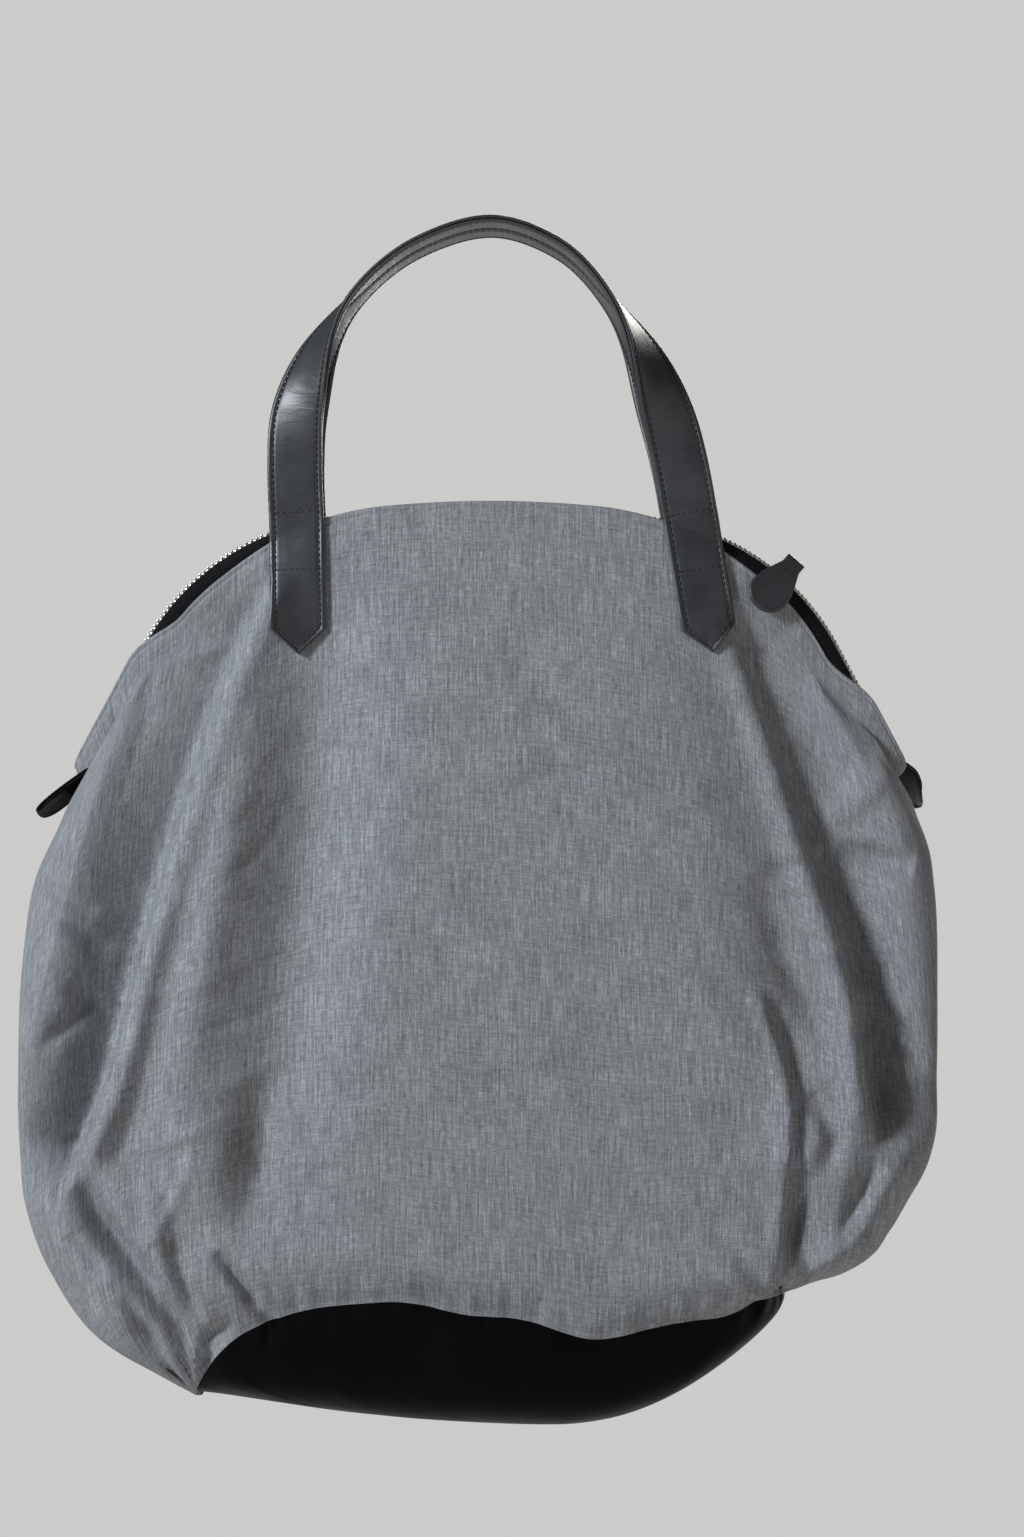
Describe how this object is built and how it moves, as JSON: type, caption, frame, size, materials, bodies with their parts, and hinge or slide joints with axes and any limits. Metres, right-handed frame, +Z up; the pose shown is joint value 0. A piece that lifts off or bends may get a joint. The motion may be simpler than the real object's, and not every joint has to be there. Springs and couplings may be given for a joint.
{
  "type": "zip-top shoulder bag",
  "caption": "Slouchy grey cloth shoulder bag on a black leather base, with leather handles, a zip over the top and a leather puller",
  "frame": {"origin": "the underside of the handle tops, where a peg or a shoulder carries the bag", "axes": "+Z is up along the bag's height, +X is to the right seen from the front, and the front faces -Y"},
  "size_m": [0.5009, 0.144, 0.6534],
  "materials": {
    "cloth": "plain-weave grey chambray with a faint vertical slub, matt",
    "lining": "thin smooth dark woven lining",
    "interfacing": "stiff non-woven patch, matt",
    "base_leather": "black faux leather with a fine matt grain",
    "strap_leather": "black faux leather, semi-gloss, turned edges, stitched",
    "zip_tape": "black woven tape",
    "zip_metal": "bright pale nickel"
  },
  "bodies": {
    "bag": {"front_panel": "cloth", "back_panel": "cloth", "front_lining": "lining", "back_lining": "lining", "base_lining": "lining", "inner_pocket": "lining", "front_reinforcement": "interfacing", "back_reinforcement": "interfacing", "base_panel": "base_leather", "front_zip_tape": "zip_tape", "back_zip_tape": "zip_tape", "front_zip_teeth": "zip_metal", "back_zip_teeth": "zip_metal", "zip_start_stops": "zip_metal", "zip_end_stop": "zip_metal", "left_zip_tab_face": "strap_leather", "left_zip_tab_backing": "strap_leather", "right_zip_tab_face": "strap_leather", "right_zip_tab_backing": "strap_leather", "front_left_tab": "strap_leather", "front_right_tab": "strap_leather", "back_left_tab": "strap_leather", "back_right_tab": "strap_leather"},
    "front_handle": {"front_handle_face": "strap_leather", "front_handle_backing": "strap_leather"},
    "back_handle": {"back_handle_face": "strap_leather", "back_handle_backing": "strap_leather"},
    "slider": {"slider_body": "zip_metal", "slider_bridge": "zip_metal"},
    "loop": {"pull_loop": "zip_metal"},
    "puller": {"puller_face": "strap_leather", "puller_backing": "strap_leather", "puller_fold": "strap_leather"}
  },
  "joints": [
    {"name": "front_handle_swing", "type": "hinge", "parent": "bag", "child": "front_handle", "pos_m": [0, -0.01381, -0.162], "axis": [1, 0, 0], "range_deg": [0, 155]},
    {"name": "back_handle_swing", "type": "hinge", "parent": "bag", "child": "back_handle", "pos_m": [0, 0.01381, -0.162], "axis": [-1, 0, 0], "range_deg": [0, 155]},
    {"name": "zip_travel", "type": "hinge", "parent": "bag", "child": "slider", "pos_m": [0.07212, 0, -0.29268], "axis": [0, 1, 0], "range_deg": [-6, 15]},
    {"name": "loop_swing", "type": "hinge", "parent": "slider", "child": "loop", "pos_m": [0.16272, 0, -0.18845], "axis": [-0.7547, 0, 0.6561], "range_deg": [0, 140]},
    {"name": "puller_swing", "type": "hinge", "parent": "loop", "child": "puller", "pos_m": [0.16671, -0.00608, -0.18386], "axis": [-0.7547, 0, 0.6561], "range_deg": [0, 160]}
  ]
}
